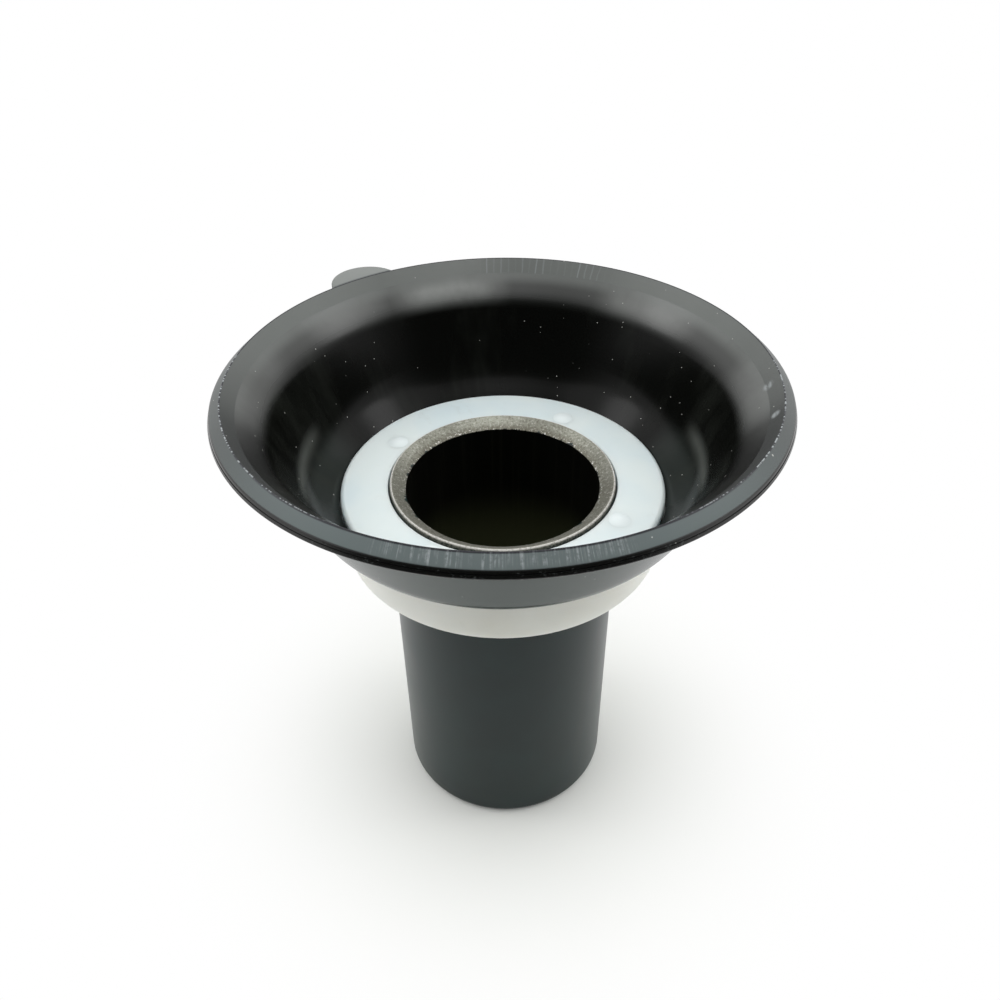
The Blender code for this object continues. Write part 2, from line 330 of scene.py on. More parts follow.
# the dark slide: a tube closed at the foot, with a bare chamfered lip
slide = {
    "around": 288,
    "meshStep": 2.5 * mm,
    "sharpFrom": 35,  # degrees between two faces
    "shoulder": lowerBox[0][2] - seatGap,
    "neck": 11.57 * mm,
    "bore": 9.95 * mm,
    "floor": 3.0 * mm,
    "chamferDepth": 0.9 * mm,
    "chamferWidth": 1.28 * mm,
    "edge": 0.16 * mm,
    "needleHole": 1.4 * mm,
    "boss": 3.7 * mm,
    "bossHeight": 2.0 * mm,
    "port": 1.6 * mm,
    "portOut": 6.825 * mm,
    "portTop": 9 * mm,
    # roundings, from the lip's edge down the outside and up the bore
    "edgeRound": 0.04 * mm,
    "neckFillet": 0.1 * mm,
    "shoulderRound": 0.15 * mm,
    "footRound": 1.0 * mm,
    "holeRound": 0.12 * mm,
    "bossRound": 0.15 * mm,
    "bossFillet": 0.2 * mm,
    "floorFillet": 1.2 * mm,
    "chamferRound": 0.06 * mm,
    "lipRound": 0.05 * mm,
    # dark coat
    "coat": rgb(5, 30, 29),
    "coatPale": rgb(12, 37, 36),
    "coatRough": 0.26,
    "coatShine": 0.3,
    # bare metal on the lip
    "bare": rgb(126, 126, 117),
    # the lip's colour towards the back, lighter as painted light
    "bareBackLit": rgb(160, 161, 149),
    "bareStained": rgb(104, 103, 92),
    "bareBrown": rgb(82, 76, 60),
    "bareMetal": 0.35,
    "bareRough": 0.16,
    "chipped": (-0.06 * mm, 0.16 * mm),  # the coat's upper edge in the bore wanders this far
    "wornAway": 0.3 * mm,  # and drifts by this much more
    "browned": (0.1 * mm, 0.55 * mm),
    "bareHighlightAndFlecks": rgb(232, 230, 224),  # painted highlight on the outer edge and painted glints, and bright flecks along the bore's edge
    "brightWide": 0.22 * mm,
    "brightHigh": 0.09 * mm,
    "fleckBand": 0.18 * mm,
    "lipGrit": rgb(112, 110, 100),
    "gritHigh": 0.3 * mm,
    # bore
    "boreBlack": rgb(11, 11, 9),
    "boreStreak": rgb(30, 30, 24),
    "boreDeepLight": rgb(84, 88, 62),
    "deepLight": (8 * mm, 19 * mm),  # below the lip: where painted light deep in the bore begins, and where it is full
}


def boreColor(tree, at, lip):
    # near black, with runs down the wall, and painted light that grows lighter deeper down
    runs = turnedNoise(tree, at, 34, 40)
    color = blendColor(tree, ramp(tree, runs, 0.5, 0.75), slide["boreBlack"], slide["boreStreak"])
    first, full = slide["deepLight"]
    return blendColor(tree, ramp(tree, at.height, lip - first, lip - full), color, slide["boreDeepLight"])


def bareZone(tree, at, bareFrom):
    # the chamfer and the top of the lip, chipped along the lower side
    chip = turnedNoise(tree, at, 34, 900, rough=0.7)
    wear = turnedNoise(tree, at, 5, 0)
    low, high = slide["chipped"]
    start = add(tree, ramp(tree, chip, 0.45, 0.8, bareFrom + low, bareFrom + high),
                ramp(tree, wear, 0.45, 0.75, 0.0, slide["wornAway"]))
    return many(tree, ramp(tree, calc(tree, "SUBTRACT", at.height, start), -0.03 * mm, 0.03 * mm),
                ramp(tree, at.radius, slide["neck"] + 0.01 * mm, slide["neck"] - 0.03 * mm))


def bareColor(tree, at, bareFrom, grit):
    # darker in soft patches, lighter towards the back as painted light, browned low down, gritty all over,
    # with painted glints
    s = slide
    stain = turnedNoise(tree, at, 2.2, 300, detail=4, rough=0.55)
    mixed = add(tree, many(tree, stain, 0.6), many(tree, grit, 0.4))
    # painted light: the lip is lighter towards the back
    behind = towardsBack(tree, at, -0.3, 0.8)
    color = blendColor(tree, behind, s["bare"], s["bareBackLit"])
    color = blendColor(tree, ramp(tree, mixed, 0.6, 0.34, 0.0, 0.6), color, s["bareStained"])
    full, first = s["browned"]
    low = ramp(tree, at.height, bareFrom + first, bareFrom + full, 0.0, 0.6)
    color = blendColor(tree, many(tree, low, behind), color, s["bareBrown"])
    # painted glints on the grit
    color = blendColor(tree, ramp(tree, grit, 0.56, 0.72, 0.0, 0.35), color, s["bareHighlightAndFlecks"])
    return blendColor(tree, ramp(tree, grit, 0.46, 0.32, 0.0, 0.5), color, s["bareBrown"])


def edgeHighlightAndFlecks(tree, at, lip, bareFrom, isBare, grit):
    # a painted highlight line on the outer edge, and bright flecks along the bore's edge
    wide, high, soft = slide["brightWide"], slide["brightHigh"], 0.03 * mm
    line = many(tree, ramp(tree, at.height, lip - high - soft, lip - high + soft),
                ramp(tree, at.radius, slide["neck"] - wide - 0.04 * mm, slide["neck"] - wide + 0.04 * mm),
                ramp(tree, grit, 0.36, 0.5, 0.55, 1.0), 0.85)
    flecks = many(tree, ramp(tree, noise(tree, at.place, 3200, 2, 0.7), 0.6, 0.66),
                  band(tree, at.height, bareFrom, bareFrom + slide["fleckBand"], 0.05 * mm), isBare)
    return most(tree, line, flecks)


def slideMaterial():
    s = slide
    mat, tree, shader = newMaterial("anodisedSlide")
    at = roundCoords(tree)
    lip = slideBox[1][2]
    bareFrom = lip - s["chamferDepth"]
    grit = noise(tree, at.place, 4200, 2, 0.7)
    isBare = bareZone(tree, at, bareFrom)
    isBore = many(tree, ramp(tree, at.radius, s["bore"] + 0.12 * mm, s["bore"] + 0.02 * mm),
                  ramp(tree, at.height, s["floor"] - 0.1 * mm, s["floor"] + 0.1 * mm))
    # the coat is slightly cloudy
    cloud = noise(tree, at.place, 160, 3)
    color = blendColor(tree, ramp(tree, cloud, 0.3, 0.75), s["coat"], s["coatPale"])
    color = blendColor(tree, isBore, color, boreColor(tree, at, lip))
    color = blendColor(tree, isBare, color, bareColor(tree, at, bareFrom, grit))
    color = blendColor(tree, edgeHighlightAndFlecks(tree, at, lip, bareFrom, isBare, grit), color, s["bareHighlightAndFlecks"])
    # grit on the short wall that stands out of the upper ring
    ringTop = upperBox[1][2]
    gritty = many(tree, ramp(tree, at.height, ringTop - s["gritHigh"], ringTop),
                  ramp(tree, at.radius, s["neck"] - 0.04 * mm, s["neck"] - 0.01 * mm),
                  ramp(tree, grit, 0.42, 0.54))
    color = blendColor(tree, gritty, color, s["lipGrit"])
    tree.links.new(color, shader.inputs["Base Color"])
    tree.links.new(many(tree, isBare, s["bareMetal"]), shader.inputs["Metallic"])
    shader.inputs["Specular IOR Level"].default_value = s["coatShine"]
    rough = add(tree, s["coatRough"], many(tree, cloud, 0.1), many(tree, isBare, s["bareRough"]))
    tree.links.new(rough, shader.inputs["Roughness"])
    # fine grain and turning marks
    turning = turnedNoise(tree, at, 1.2, 9000, detail=2, rough=0.5)
    grain = add(tree, noise(tree, at.place, 5200, 3), many(tree, turning, 0.4))
    addBump(tree, shader, grain, 0.2, 0.02 * mm)
    return mat


def makeSlide():
    s = slide
    body, lip = slideBox[1][0], slideBox[1][2]
    bossTop = s["floor"] + s["bossHeight"]
    section = fillIn(roundCorners([
        (s["neck"] - s["edge"], lip, s["edgeRound"]),
        (s["neck"], lip - s["edge"], s["edgeRound"]),
        (s["neck"], s["shoulder"], s["neckFillet"]),
        (body, s["shoulder"], s["shoulderRound"]),
        (body, 0, s["footRound"]),
        (s["needleHole"], 0, s["holeRound"]),
        (s["needleHole"], bossTop, s["holeRound"]),
        (s["boss"], bossTop, s["bossRound"]),
        (s["boss"], s["floor"], s["bossFillet"]),
        (s["bore"], s["floor"], s["floorFillet"]),
        (s["bore"], lip - s["chamferDepth"], s["chamferRound"]),
        (s["bore"] + s["chamferWidth"], lip, s["lipRound"]),
    ]), s["meshStep"])
    obj = turnSection("slideTube", section, s["around"])
    # vacuum port, beside the needle's hole
    port = roundPeg("portTool", 0, -s["portOut"], holeSection(s["port"], s["portTop"], -3 * overcut))
    cutOrJoin(obj, [port], "DIFFERENCE")
    finishPiece(obj, s["sharpFrom"], slideMaterial(), "slide")
    print("slide made")


makeSlide()


# the two nylon rings, with the pegs of the lower one showing on the upper
rings = {
    "around": 288,
    "meshStep": 1.2 * mm,
    "sharpFrom": 35,
    "hole": 11.72 * mm,
    "holeRound": 0.12 * mm,
    "upperRound": 0.5 * mm,
    "lowerRound": 0.3 * mm,
    "draft": 0.14 * mm,
    "pegs": 4,
    "pegCircle": 13.2 * mm,
    "pegTurn": 58.7,
    "pegShank": 0.7 * mm,
    "pegRoot": 2 * mm,  # how far up in the lower ring a peg starts
    "pegHole": 0.8 * mm,
    "pegHead": 1.3 * mm,
    "headSteps": 12,
    "headSink": 0.02 * mm,  # the head's rim lies this far below the ring's top
    "headRim": 0.05 * mm,
    "melted": 0.22 * mm,  # the heads are lower than the solid's by this
    "upperColor": rgb(222, 232, 231),
    "upperDeep": rgb(212, 226, 229),
    "upperMilky": 0.5,
    "pegColor": rgb(229, 238, 238),
    "headEdge": rgb(222, 232, 232),  # the heads run out in the upper ring's colour
    "lowerColor": rgb(247, 247, 241),
    "lowerDeep": rgb(239, 238, 231),
    "lowerMilky": 0.6,
    "milkyDepth": 1.2 * mm,
    "grime": rgb(178, 176, 164),
    "rough": 0.32,
}


def nylonMaterial(name, base, deep, milky, headsFrom=None):
    r = rings
    mat, tree, shader = newMaterial(name)
    at = roundCoords(tree)
    # soft clouds in the plastic and a little grime that follows the turning
    color = blendColor(tree, ramp(tree, noise(tree, at.place, 120, 3), 0.35, 0.75), base, deep)
    grime = turnedNoise(tree, at, 6, 260, 260, detail=5, rough=0.65)
    color = blendColor(tree, ramp(tree, grime, 0.6, 0.8, 0.0, 0.16), color, r["grime"])
    if headsFrom:
        # the pegs change to the upper ring's colour where they come out of it
        color = blendColor(tree, ramp(tree, at.height, headsFrom, headsFrom + 0.05 * mm),
                           color, r["headEdge"])
        color = blendColor(tree, ramp(tree, at.height, headsFrom + 0.1 * mm, headsFrom + 0.25 * mm),
                           color, r["pegColor"])
        tree.links.new(ramp(tree, at.height, headsFrom - 0.1 * mm, headsFrom, milky, 0.0),
                       shader.inputs["Subsurface Weight"])
    else:
        shader.inputs["Subsurface Weight"].default_value = milky
    tree.links.new(color, shader.inputs["Base Color"])
    shader.inputs["Subsurface Radius"].default_value = (1.0, 1.05, 1.1)
    shader.inputs["Subsurface Scale"].default_value = r["milkyDepth"]
    shader.inputs["IOR"].default_value = 1.5
    tree.links.new(ramp(tree, noise(tree, at.place, 700, 3), 0.2, 0.8, r["rough"], r["rough"] + 0.12),
                   shader.inputs["Roughness"])
    addBump(tree, shader, noise(tree, at.place, 1500, 4), 0.1, 0.03 * mm)
    return mat


def pegPlaces():
    for k in range(rings["pegs"]):
        a = math.radians(rings["pegTurn"] + 360 * k / rings["pegs"])
        yield rings["pegCircle"] * math.cos(a), rings["pegCircle"] * math.sin(a)


def pegSection():
    # low head that runs out softly on the upper ring, then the shank down into the lower ring
    r = rings
    top = lowerBox[1][2] - r["melted"]
    seat = upperBox[1][2] - r["headSink"]
    head = []
    for k in range(r["headSteps"] + 1):
        t = k / r["headSteps"]
        head.append(Vector((r["pegHead"] * t, seat + (top - seat) * (1 - t ** 2) ** 2)))
    root = lowerBox[0][2] + r["pegRoot"]
    under = seat - r["headRim"]
    return head + [Vector((r["pegHead"], under)), Vector((r["pegShank"], under)),
                   Vector((r["pegShank"], root)), Vector((0, root))]


def makeUpperRing():
    r = rings
    radius, low, high = upperBox[1][0], upperBox[0][2], upperBox[1][2]
    section = fillIn(roundCorners([
        (r["hole"], high, r["holeRound"]),
        (radius, high, r["upperRound"]),
        (radius, low, r["holeRound"]),
        (r["hole"], low, r["holeRound"]),
    ]), r["meshStep"])
    ring = turnSection("upperNylonRing", section, r["around"])
    through = holeSection(r["pegHole"], high + overcut, low - overcut)
    cutOrJoin(ring, [roundPeg("holeTool", x, y, through) for x, y in pegPlaces()], "DIFFERENCE")
    nylon = nylonMaterial("milkyNylon", r["upperColor"], r["upperDeep"], r["upperMilky"])
    finishPiece(ring, r["sharpFrom"], nylon, "upper_clamp_ring")


def makeLowerRing():
    r = rings
    radius, low, high = upperBox[1][0], lowerBox[0][2], cupBox[0][2] - seatGap
    section = fillIn(roundCorners([
        (r["hole"], high, r["holeRound"]),
        (radius, high, r["lowerRound"]),
        (radius - r["draft"], low, r["lowerRound"]),
        (r["hole"], low, r["holeRound"]),
    ]), r["meshStep"])
    ring = turnSection("lowerNylonRing", section, r["around"])
    cutOrJoin(ring, [roundPeg("peg", x, y, pegSection()) for x, y in pegPlaces()], "UNION")
    nylon = nylonMaterial("naturalNylon", r["lowerColor"], r["lowerDeep"], r["lowerMilky"],
                          upperBox[1][2] - 0.1 * mm)
    finishPiece(ring, r["sharpFrom"], nylon, "lower_clamp_ring")


makeUpperRing()
makeLowerRing()
print("rings made")


# the rubber cup: flange, knee, steep wall, flare and bead
cup = {
    "around": 360,
    "meshStep": 0.9 * mm,
    "sharpFrom": 32,
    "flange": 0.6 * mm,
    "flangeClear": 0.3 * mm,  # round the slide's neck
    "skirt": 0.95 * mm,
    "wall": 0.75 * mm,
    "overhang": 0.35 * mm,
    "step": 0.15 * mm,
    "stepRound": 0.12 * mm,
    "rootRound": 1.2 * mm,
    "knee": (3.3 * mm, 2.93 * mm, 3.0 * mm),  # out, up, rounding
    "innerKnee": 7.0 * mm,  # the inside turns more gently than the outside
    "flare": (3.1 * mm, 7.5 * mm, 3.5 * mm),
    "rimOut": 2.828 * mm,
    "bevel": (1.12 * mm, 1.37 * mm),  # inner face of the bead, width and drop
    "creaseRound": 0.3 * mm,
    "ledge": 0.12 * mm,
    "face": (1.1 * mm, 0.99 * mm),  # outer face of the bead, width and drop
    "band": (0.2 * mm, 0.58 * mm),
    "groove": (0.3, 0.5, 0.07 * mm),  # parting line on the band: from, to, depth
    "grooveWay": (-1, -0.35),
    "heel": 0.75 * mm,
    "bead": 2.33 * mm,
    "beadRound": 0.25 * mm,
    "sharp": 0.06 * mm,
    "earTurn": 126.6,
    "earRadius": 3.8 * mm,
    "earReach": 3.27 * mm,
    "earRoot": 0.4 * mm,
    "earThick": 1.9 * mm,
    "earDrop": 0.08 * mm,
    "earRound": 0.3 * mm,
    # rubber
    "wallColor": rgb(11, 12, 10),
    "coneReflectionTint": rgb(25, 47, 44),  # the outside, below the bead, with the paper's reflection painted in as a green-blue tint
    "haze": rgb(52, 55, 50),
    "hazeAmount": 0.36,
    # painted reflection on the inner skirt at the left and the right
    "skirtSides": rgb(44, 48, 46),
    "streakColor": rgb(90, 93, 89),  # painted highlights inside the knee at the left and the right
    "streakUp": (1.5 * mm, 2.6 * mm),  # above the knee
    "streakAt": ((-176, 7, 14), (-4, 7, 12)),  # degrees round, full to each side, fading
    "streakAmount": 0.75,
    # the flare and the bevel are duller, with painted light towards the back and painted highlights in a few
    # soft patches
    "flareDown": (4.6 * mm, 2.3 * mm),
    "flareColor": rgb(12, 13, 12),
    "flareBackLit": rgb(56, 58, 56),
    "patchHighlightColor": rgb(146, 149, 146),
    "highlightPatches": ((105, 19, 1.0), (46, 18, 0.55), (136, 16, 0.35), (178, 20, 0.26), (-3, 16, 0.34)),
    "bevelColor": rgb(34, 37, 36),
    "bevelBackLit": rgb(110, 114, 111),
    "bevelDown": (2.6 * mm, 1.5 * mm),  # behind, the bevel's painted light runs out over the flare
    "faceColor": rgb(66, 72, 71),
    # the face is lighter in front: painted light
    "faceFrontLit": rgb(98, 109, 109),
    "faceLitAt": (-90, 20, 50),
    "edgeColor": rgb(12, 14, 26),  # dark line on the sharp edge
    "edgeAt": (-90, 32, 26),
    "crumbColor": rgb(70, 74, 74),
    "rough": 0.16,
    "satin": 0.4,
    "insideShine": 0.13,
    # marks of use, and painted glints on the sharp edge
    "scuffAndGlintColor": rgb(172, 178, 180),
    "ticks": 193,  # round the whole rim
    "tickFront": (-90, 17),
    "tickBack": (79, 14),
    "edgeGlints": ((-155, 28, 8), (-27, 26, 8)),
    "scuffs": ((-3.9, 24.85 * mm, 1.18 * mm, 0.75 * mm),  # degrees round, out, down, reach
               (-16.3, 25.1 * mm, 0.88 * mm, 0.65 * mm)),
    "dustColor": rgb(214, 214, 208),
    "dust": ((0.9 * mm, 0.08 * mm, 0.3), (5 * mm, 0.15 * mm, 0.5)),  # apart, size, share kept
    "dustAmount": 0.75,
}


def lineAt(a, b, away):
    # the line from a to b, moved to its left
    along = (b - a).normalized()
    return a + Vector((-along.y, along.x)) * away, along


def meet(a, alongA, b, alongB):
    return a + alongA * ((b - a).cross(alongB) / alongA.cross(alongB))


def cupSection():
    c = cup
    bottom, top = cupBox[0][2], cupBox[1][2]
    ringEdge = upperBox[1][0]
    root = Vector((ringEdge + c["overhang"], bottom))
    knee = Vector((ringEdge + c["knee"][0], bottom + c["knee"][1]))
    flare = knee + Vector(c["flare"][:2])
    edge = Vector((flare.x + c["rimOut"], top))
    crease = edge - Vector(c["bevel"])
    under = top - c["bead"]
    # the inside is the outside set back by the rubber
    skirt, skirtAlong = lineAt(root, knee, c["skirt"])
    wall, wallAlong = lineAt(knee, flare, c["wall"])
    innerKnee = meet(skirt, skirtAlong, wall, wallAlong)
    flareTop = crease - Vector((c["ledge"], 0))
    innerFlare = flare + Vector((-wallAlong.y, wallAlong.x)) * c["wall"]
    outerTop = meet(flare, (flareTop - innerFlare).normalized(), Vector((0, under)), Vector((1, 0)))
    step = meet(skirt, skirtAlong, Vector((ringEdge + c["step"], 0)), Vector((0, 1)))
    # the bead's face and band, with the parting groove
    face = edge + Vector((c["face"][0], -c["face"][1]))
    band = face + Vector((c["band"][0], -c["band"][1]))
    groove = [face.lerp(band, share) for share in c["groove"][:2]]
    inward = Vector(c["grooveWay"]).normalized() * c["groove"][2]
    flangeHole = slide["neck"] + c["flangeClear"]
    return fillIn(roundCorners([
        (edge.x, edge.y, c["sharp"]),
        (face.x, face.y, c["beadRound"] / 4),
        (groove[0].x, groove[0].y, 0),
        (groove[0].x + inward.x, groove[0].y + inward.y, 0),
        (groove[1].x + inward.x, groove[1].y + inward.y, 0),
        (groove[1].x, groove[1].y, 0),
        (band.x, band.y, c["beadRound"] / 2),
        (band.x - c["heel"], under, c["beadRound"]),
        (outerTop.x, under, c["beadRound"]),
        (flare.x, flare.y, c["flare"][2] + c["wall"]),
        (knee.x, knee.y, c["knee"][2] + c["wall"]),
        (root.x, root.y, c["rootRound"]),
        (flangeHole, bottom, 0),
        (flangeHole, bottom + c["flange"], 0),
        (step.x, bottom + c["flange"], 0),
        (step.x, step.y, c["stepRound"]),
        (innerKnee.x, innerKnee.y, c["innerKnee"]),
        (innerFlare.x, innerFlare.y, c["flare"][2]),
        (crease.x, crease.y, c["creaseRound"]),
    ]), c["meshStep"]), edge, crease


def cupZones(tree, at, edge, crease):
    # where each part of the cup is, from 0 to 1
    c = cup
    top = edge.y
    faceOut, faceFoot = edge.x + c["face"][0], top - c["face"][1]
    bevelFoot, under = top - c["bevel"][1], top - c["bead"]
    knee = cupBox[0][2] + c["knee"][1]
    zone = SimpleNamespace()
    normal = addNode(tree, "ShaderNodeTexCoord").outputs["Normal"]
    outward = addNode(tree, "ShaderNodeVectorMath", {0: normal, 1: at.flat}, operation="DOT_PRODUCT")
    zone.inside = calc(tree, "LESS_THAN", outward.outputs["Value"], 0)
    zone.bevel = many(tree, band(tree, at.radius, crease.x, edge.x, 0.05 * mm),
                      ramp(tree, at.height, bevelFoot - 0.13 * mm, bevelFoot - 0.03 * mm))
    zone.face = many(tree, ramp(tree, at.radius, edge.x, edge.x + 0.05 * mm),
                     ramp(tree, at.height, faceFoot + 0.04 * mm, faceFoot + 0.14 * mm))
    zone.ear = many(tree, ramp(tree, at.radius, edge.x + 0.3 * mm, edge.x + 0.4 * mm),
                    ramp(tree, at.height, top - 0.25 * mm, top - 0.2 * mm))
    zone.flare = many(tree, zone.inside,
                      ramp(tree, at.height, top - c["flareDown"][0], top - c["flareDown"][1]))
    zone.nearBevel = many(tree, zone.inside,
                          ramp(tree, at.height, top - c["bevelDown"][0], top - c["bevelDown"][1]))
    zone.cone = many(tree, without(tree, zone.inside),
                     ramp(tree, at.height, under + 0.18 * mm, under + 0.03 * mm))
    zone.band = many(tree, ramp(tree, at.height, faceFoot - 0.03 * mm, faceFoot - 0.11 * mm),
                     ramp(tree, at.radius, faceOut - 0.2 * mm, faceOut))
    zone.edge = many(tree, band(tree, at.radius, edge.x - 0.06 * mm, edge.x + 0.07 * mm, 0.02 * mm),
                     ramp(tree, at.height, top - 0.25 * mm, top - 0.15 * mm))
    zone.rimLine = many(tree, zone.face, ramp(tree, at.radius, edge.x + 0.17 * mm, edge.x + 0.1 * mm), 0.95,
                        sector(tree, at, *c["edgeAt"]))
    # painted reflection low inside the skirt, at the left and the right
    toSide = ramp(tree, calc(tree, "ABSOLUTE", calc(tree, "COSINE", at.angle)), 0.9, 0.995)
    zone.skirtSides = many(tree, zone.inside, ramp(tree, at.height, knee + 1.8 * mm, knee), toSide)
    zone.streak = many(tree, zone.inside,
                       band(tree, at.height, knee + c["streakUp"][0], knee + c["streakUp"][1], 0.7 * mm),
                       sectors(tree, at, c["streakAt"]), c["streakAmount"])
    return zone


def rubberColor(tree, at, zone, cloud):
    c = cup
    # painted light: the flare and the bevel are lighter towards the back, with painted highlight patches
    behind = towardsBack(tree, at, -0.5, 0.55)
    highlightPatches = most(tree, *[many(tree, sector(tree, at, turn, 0, reach), amount)
                         for turn, reach, amount in c["highlightPatches"]])
    highlightPatches = many(tree, highlightPatches, ramp(tree, cloud, 0.3, 0.65, 0.55, 1.0))
    flare = blendColor(tree, behind, c["flareColor"], c["flareBackLit"])
    flare = blendColor(tree, highlightPatches, flare, c["patchHighlightColor"])
    bevel = blendColor(tree, behind, c["bevelColor"], c["bevelBackLit"])
    bevel = blendColor(tree, many(tree, highlightPatches, 0.4), bevel, c["patchHighlightColor"])
    face = blendColor(tree, sector(tree, at, *c["faceLitAt"]), c["faceColor"], c["faceFrontLit"])
    haze = turnedNoise(tree, at, 3.5, 60, detail=4)
    haze = many(tree, zone.inside, ramp(tree, haze, 0.48, 0.78), c["hazeAmount"])
    crumbs = ramp(tree, noise(tree, at.place, 2100, 3, 0.75), 0.56, 0.66)
    # each layer lies over those before it
    layers = [
        (zone.cone, c["coneReflectionTint"]),
        (zone.skirtSides, c["skirtSides"]),
        (zone.streak, c["streakColor"]),
        (zone.flare, flare),
        (many(tree, zone.nearBevel, behind, 0.8), c["bevelBackLit"]),
        (haze, c["haze"]),
        (zone.bevel, bevel),
        (zone.face, face),
        # the ear takes the bevel's painted light colour
        (zone.ear, c["bevelBackLit"]),
        (zone.edge, c["edgeColor"]),
        (zone.rimLine, c["edgeColor"]),
        (many(tree, zone.band, crumbs, 0.5), c["crumbColor"]),
    ]
    color = c["wallColor"]
    for where, layer in layers:
        color = blendColor(tree, where, color, layer)
    return color


def rimMarksAndGlints(tree, at, zone, edge):
    # rows of short scuffs where the cover has rubbed, in front on the face and behind on the bevel
    c = cup
    tick, own = ticks(tree, at, c["ticks"], many(tree, noise(tree, at.place, 260, 2), 0.9))
    broken = noise(tree, at.place, 2300, 3, 0.7)
    along = calc(tree, "DIVIDE", calc(tree, "SUBTRACT", at.radius, edge.x), c["face"][0])
    reach = many(tree, own, 0.5)
    front = many(tree, zone.face, tick, 0.6, ramp(tree, along, add(tree, reach, 0.6), add(tree, reach, 0.2)),
                 ramp(tree, broken, 0.36, 0.6), ramp(tree, own, 0.0, 0.9, 0.3, 0.95),
                 sector(tree, at, *c["tickFront"], 5))
    back = many(tree, zone.bevel, tick, ramp(tree, own, 0.1, 0.9, 0.04, 0.34),
                sector(tree, at, *c["tickBack"], 6))
    # between the front ones there are fine broken hairs, in groups
    hairs = turnedNoise(tree, at, 150, 420, 420, detail=4, rough=0.8)
    groups = turnedNoise(tree, at, 22, 60, 60, detail=2)
    reach = many(tree, groups, 1.1)
    rubbed = many(tree, zone.face, ramp(tree, hairs, 0.5, 0.66), ramp(tree, broken, 0.3, 0.6),
                  ramp(tree, along, add(tree, reach, 0.35), add(tree, reach, 0.05)),
                  ramp(tree, groups, 0.32, 0.58, 0.35, 1.0), 0.8, sector(tree, at, *c["tickFront"], 6))
    # painted glints in dots along the sharp edge at both sides
    dots = ramp(tree, turnedNoise(tree, at, 110, 400, detail=2, rough=0.5), 0.5, 0.58)
    edgeGlints = many(tree, zone.edge, dots, sectors(tree, at, c["edgeGlints"]), 0.8)
    return most(tree, front, rubbed, back, edgeGlints)


def rubbedPatches(tree, at, top):
    patches = []
    for turn, out, down, reach in cup["scuffs"]:
        a = math.radians(turn)
        centre = (out * math.cos(a), out * math.sin(a), top - down)
        away = addNode(tree, "ShaderNodeVectorMath", {0: at.place, 1: centre}, operation="DISTANCE")
        patches.append(ramp(tree, away.outputs["Value"], reach, 0.3 * reach))
    rubs = turnedNoise(tree, at, 12, 1500, 900)
    return many(tree, most(tree, *patches), ramp(tree, rubs, 0.3, 0.6), 0.6)


def rubberMaterial(edge, crease):
    c = cup
    mat, tree, shader = newMaterial("mouldedRubber")
    at = roundCoords(tree)
    zone = cupZones(tree, at, edge, crease)
    cloud = noise(tree, at.place, 130, 4, 0.55)
    marksAndGlints = most(tree, rimMarksAndGlints(tree, at, zone, edge), rubbedPatches(tree, at, edge.y))
    marksAndGlints = many(tree, marksAndGlints, without(tree, many(tree, zone.rimLine, 0.7)))
    dust = most(tree, *[specks(tree, at, *kind) for kind in c["dust"]])
    color = rubberColor(tree, at, zone, cloud)
    color = blendColor(tree, marksAndGlints, color, c["scuffAndGlintColor"])
    color = blendColor(tree, many(tree, dust, c["dustAmount"]), color, c["dustColor"])
    tree.links.new(color, shader.inputs["Base Color"])
    # the bead's faces are satin from handling, the flare less so, and the wall is glossy
    rough = add(tree, c["rough"], many(tree, cloud, 0.08),
                many(tree, most(tree, zone.face, zone.bevel), c["satin"] - c["rough"]),
                many(tree, zone.flare, 0.14), many(tree, most(tree, marksAndGlints, dust), 0.3))
    tree.links.new(rough, shader.inputs["Roughness"])
    shader.inputs["IOR"].default_value = 1.5
    blackInside = many(tree, zone.inside, without(tree, most(tree, zone.flare, zone.bevel)))
    shine = ramp(tree, blackInside, 0.0, 1.0, 0.5, c["insideShine"])
    tree.links.new(shine, shader.inputs["Specular IOR Level"])
    grain = add(tree, many(tree, noise(tree, at.place, 2600, 3), 0.5), many(tree, marksAndGlints, 0.5))
    addBump(tree, shader, grain, 0.12, 0.02 * mm)
    return mat


def makeEar(edge):
    # level with the rim: a round tab whose inner part is cut away
    c = cup
    top = cupBox[1][2] - c["earDrop"]
    section = roundCorners([
        (c["earRadius"], top, c["earRound"]),
        (c["earRadius"], top - c["earThick"], c["earRound"]),
        (0, top - c["earThick"], 0),
        (0, top, 0),
    ], 15)
    out = edge.x + c["earReach"] - c["earRadius"]
    a = math.radians(c["earTurn"])
    ear = roundPeg("ear", out * math.cos(a), out * math.sin(a), section, 120)
    inner = holeSection(edge.x - c["earRoot"], edge.y + 2 * overcut, edge.y - 6 * overcut)
    cutOrJoin(ear, [turnSection("earTrim", inner, 180)], "DIFFERENCE")
    return ear


def bevelTool(edge, crease):
    # cuts the bevel clean again where the ear has filled it
    up = 3 * overcut
    out = edge.x + up * cup["bevel"][0] / cup["bevel"][1]
    section = [Vector((out, edge.y + up)), crease.copy(), Vector((0, crease.y)), Vector((0, edge.y + up))]
    return turnSection("bevelTool", section, cup["around"])


def makeCup():
    section, edge, crease = cupSection()
    obj = turnSection("rubberCup", section, cup["around"])
    cutOrJoin(obj, [makeEar(edge)], "UNION")
    through = holeSection(rings["pegHole"], edge.y, cupBox[0][2] - overcut)
    holes = [roundPeg("holeTool", x, y, through) for x, y in pegPlaces()]
    cutOrJoin(obj, [bevelTool(edge, crease)] + holes, "DIFFERENCE")
    finishPiece(obj, cup["sharpFrom"], rubberMaterial(edge, crease), "diaphragm")
    print("rubber cup made")


makeCup()


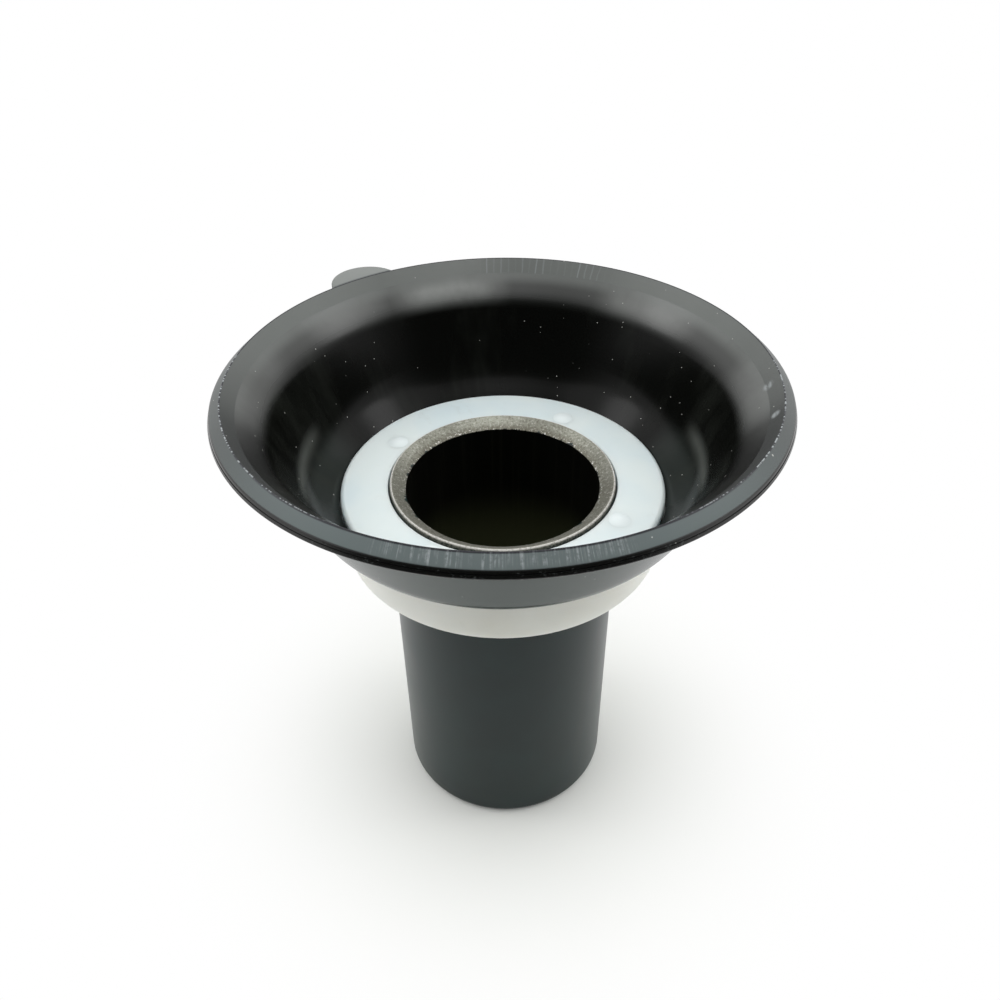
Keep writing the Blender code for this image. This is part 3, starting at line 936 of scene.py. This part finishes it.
# white sheet on a table, a light ceiling, a dark room on the camera's side
stage = {
    "sheet": 0.9,
    "sheetFront": 0.16,  # the sheet ends this far in front of the slide
    "sheetGap": 0.02 * mm,
    "paper": rgb(246, 248, 243),
    "paperRough": 0.85,
    "paperWhite": (4 * mm, 45 * mm),  # from the axis, the paper's shade fades out to white
    "ceiling": 1.34,
    "ceilingEdge": (0.5, 0.38),  # sine of its height all round, and how much more in front
    "sides": 1.15,
    "darkSide": 0.045,
    "darkFrom": (0.1, 0.75),
    "lamps": {
        # name: degrees round from +X, degrees up, how far, how wide, how bright against white
        "overhead": (-84, 80, 0.42, 0.22, 2.0),
        "left": (172, 42, 0.42, 0.14, 3.3),
        "right": (6, 40, 0.42, 0.13, 3.4),
    },
    "lampAim": 45 * mm,  # height that the lamps point at
}


def paperMaterial():
    mat, tree, shader = newMaterial("whitePaper")
    shader.inputs["Base Color"].default_value = stage["paper"]
    shader.inputs["Roughness"].default_value = stage["paperRough"]
    place = addNode(tree, "ShaderNodeTexCoord").outputs["Object"]
    away = addNode(tree, "ShaderNodeVectorMath", {0: place}, operation="LENGTH").outputs["Value"]
    path = addNode(tree, "ShaderNodeLightPath").outputs
    seen = most(tree, path["Is Camera Ray"], path["Is Glossy Ray"], path["Is Transmission Ray"])
    far = ramp(tree, away, *stage["paperWhite"])
    white = addNode(tree, "ShaderNodeEmission", {"Color": (1, 1, 1, 1), "Strength": 1.0}).outputs[0]
    mix = addNode(tree, "ShaderNodeMixShader", {0: many(tree, seen, far), 1: shader.outputs[0], 2: white})
    tree.links.new(mix.outputs[0], tree.nodes["Material Output"].inputs["Surface"])
    return mat


def makeRoom():
    world = bpy.data.worlds.new("lightRoom")
    bpy.context.scene.world = world
    world.use_nodes = True
    tree = world.node_tree
    background = tree.nodes["Background"]
    way = addNode(tree, "ShaderNodeTexCoord").outputs["Generated"]
    xyz = addNode(tree, "ShaderNodeSeparateXYZ", {0: way}).outputs
    # 1 straight towards the camera's side, 0 at the left, the right and the back
    flat = calc(tree, "SQRT", add(tree, many(tree, xyz[0], xyz[0]), many(tree, xyz[1], xyz[1])))
    toFront = calc(tree, "DIVIDE", many(tree, xyz[1], -1.0), calc(tree, "MAXIMUM", flat, 0.001))
    dark = ramp(tree, toFront, *stage["darkFrom"])
    around, more = stage["ceilingEdge"]
    edge = add(tree, around, many(tree, dark, more))
    ceiling = ramp(tree, xyz[2], calc(tree, "SUBTRACT", edge, 0.1), edge)
    low = add(tree, stage["sides"], many(tree, dark, stage["darkSide"] - stage["sides"]))
    strength = add(tree, low, many(tree, ceiling, calc(tree, "SUBTRACT", stage["ceiling"], low)))
    # the camera sees plain white
    camera = addNode(tree, "ShaderNodeLightPath").outputs["Is Camera Ray"]
    shown = add(tree, many(tree, strength, without(tree, camera)), camera)
    tree.links.new(shown, background.inputs["Strength"])
    background.inputs["Color"].default_value = (1, 1, 1, 1)


def makeLamps():
    for name, (turn, up, away, wide, bright) in stage["lamps"].items():
        lamp = bpy.data.lights.new(name + "Lamp", "AREA")
        lamp.shape = "DISK"
        lamp.size = wide
        lamp.energy = bright * math.pi * math.pi * (wide / 2) ** 2
        obj = bpy.data.objects.new(name + "Lamp", lamp)
        bpy.context.scene.collection.objects.link(obj)
        turn, up = math.radians(turn), math.radians(up)
        way = Vector((math.cos(turn) * math.cos(up), math.sin(turn) * math.cos(up), math.sin(up)))
        obj.location = Vector((0, 0, stage["lampAim"])) + way * away
        obj.rotation_euler = way.to_track_quat("Z", "Y").to_euler()


def makeStage():
    mesh = bmesh.new()
    half, front = stage["sheet"] / 2, -stage["sheetFront"]
    corners = [(-half, front), (half, front), (half, half), (-half, half)]
    mesh.faces.new([mesh.verts.new((x, y, -stage["sheetGap"])) for x, y in corners])
    sheet = meshToObject("paperSheet", mesh)
    sheet.data.materials.append(paperMaterial())
    makeRoom()
    makeLamps()
    bpy.context.scene.view_settings.view_transform = "Standard"
    print("stage made")


makeStage()
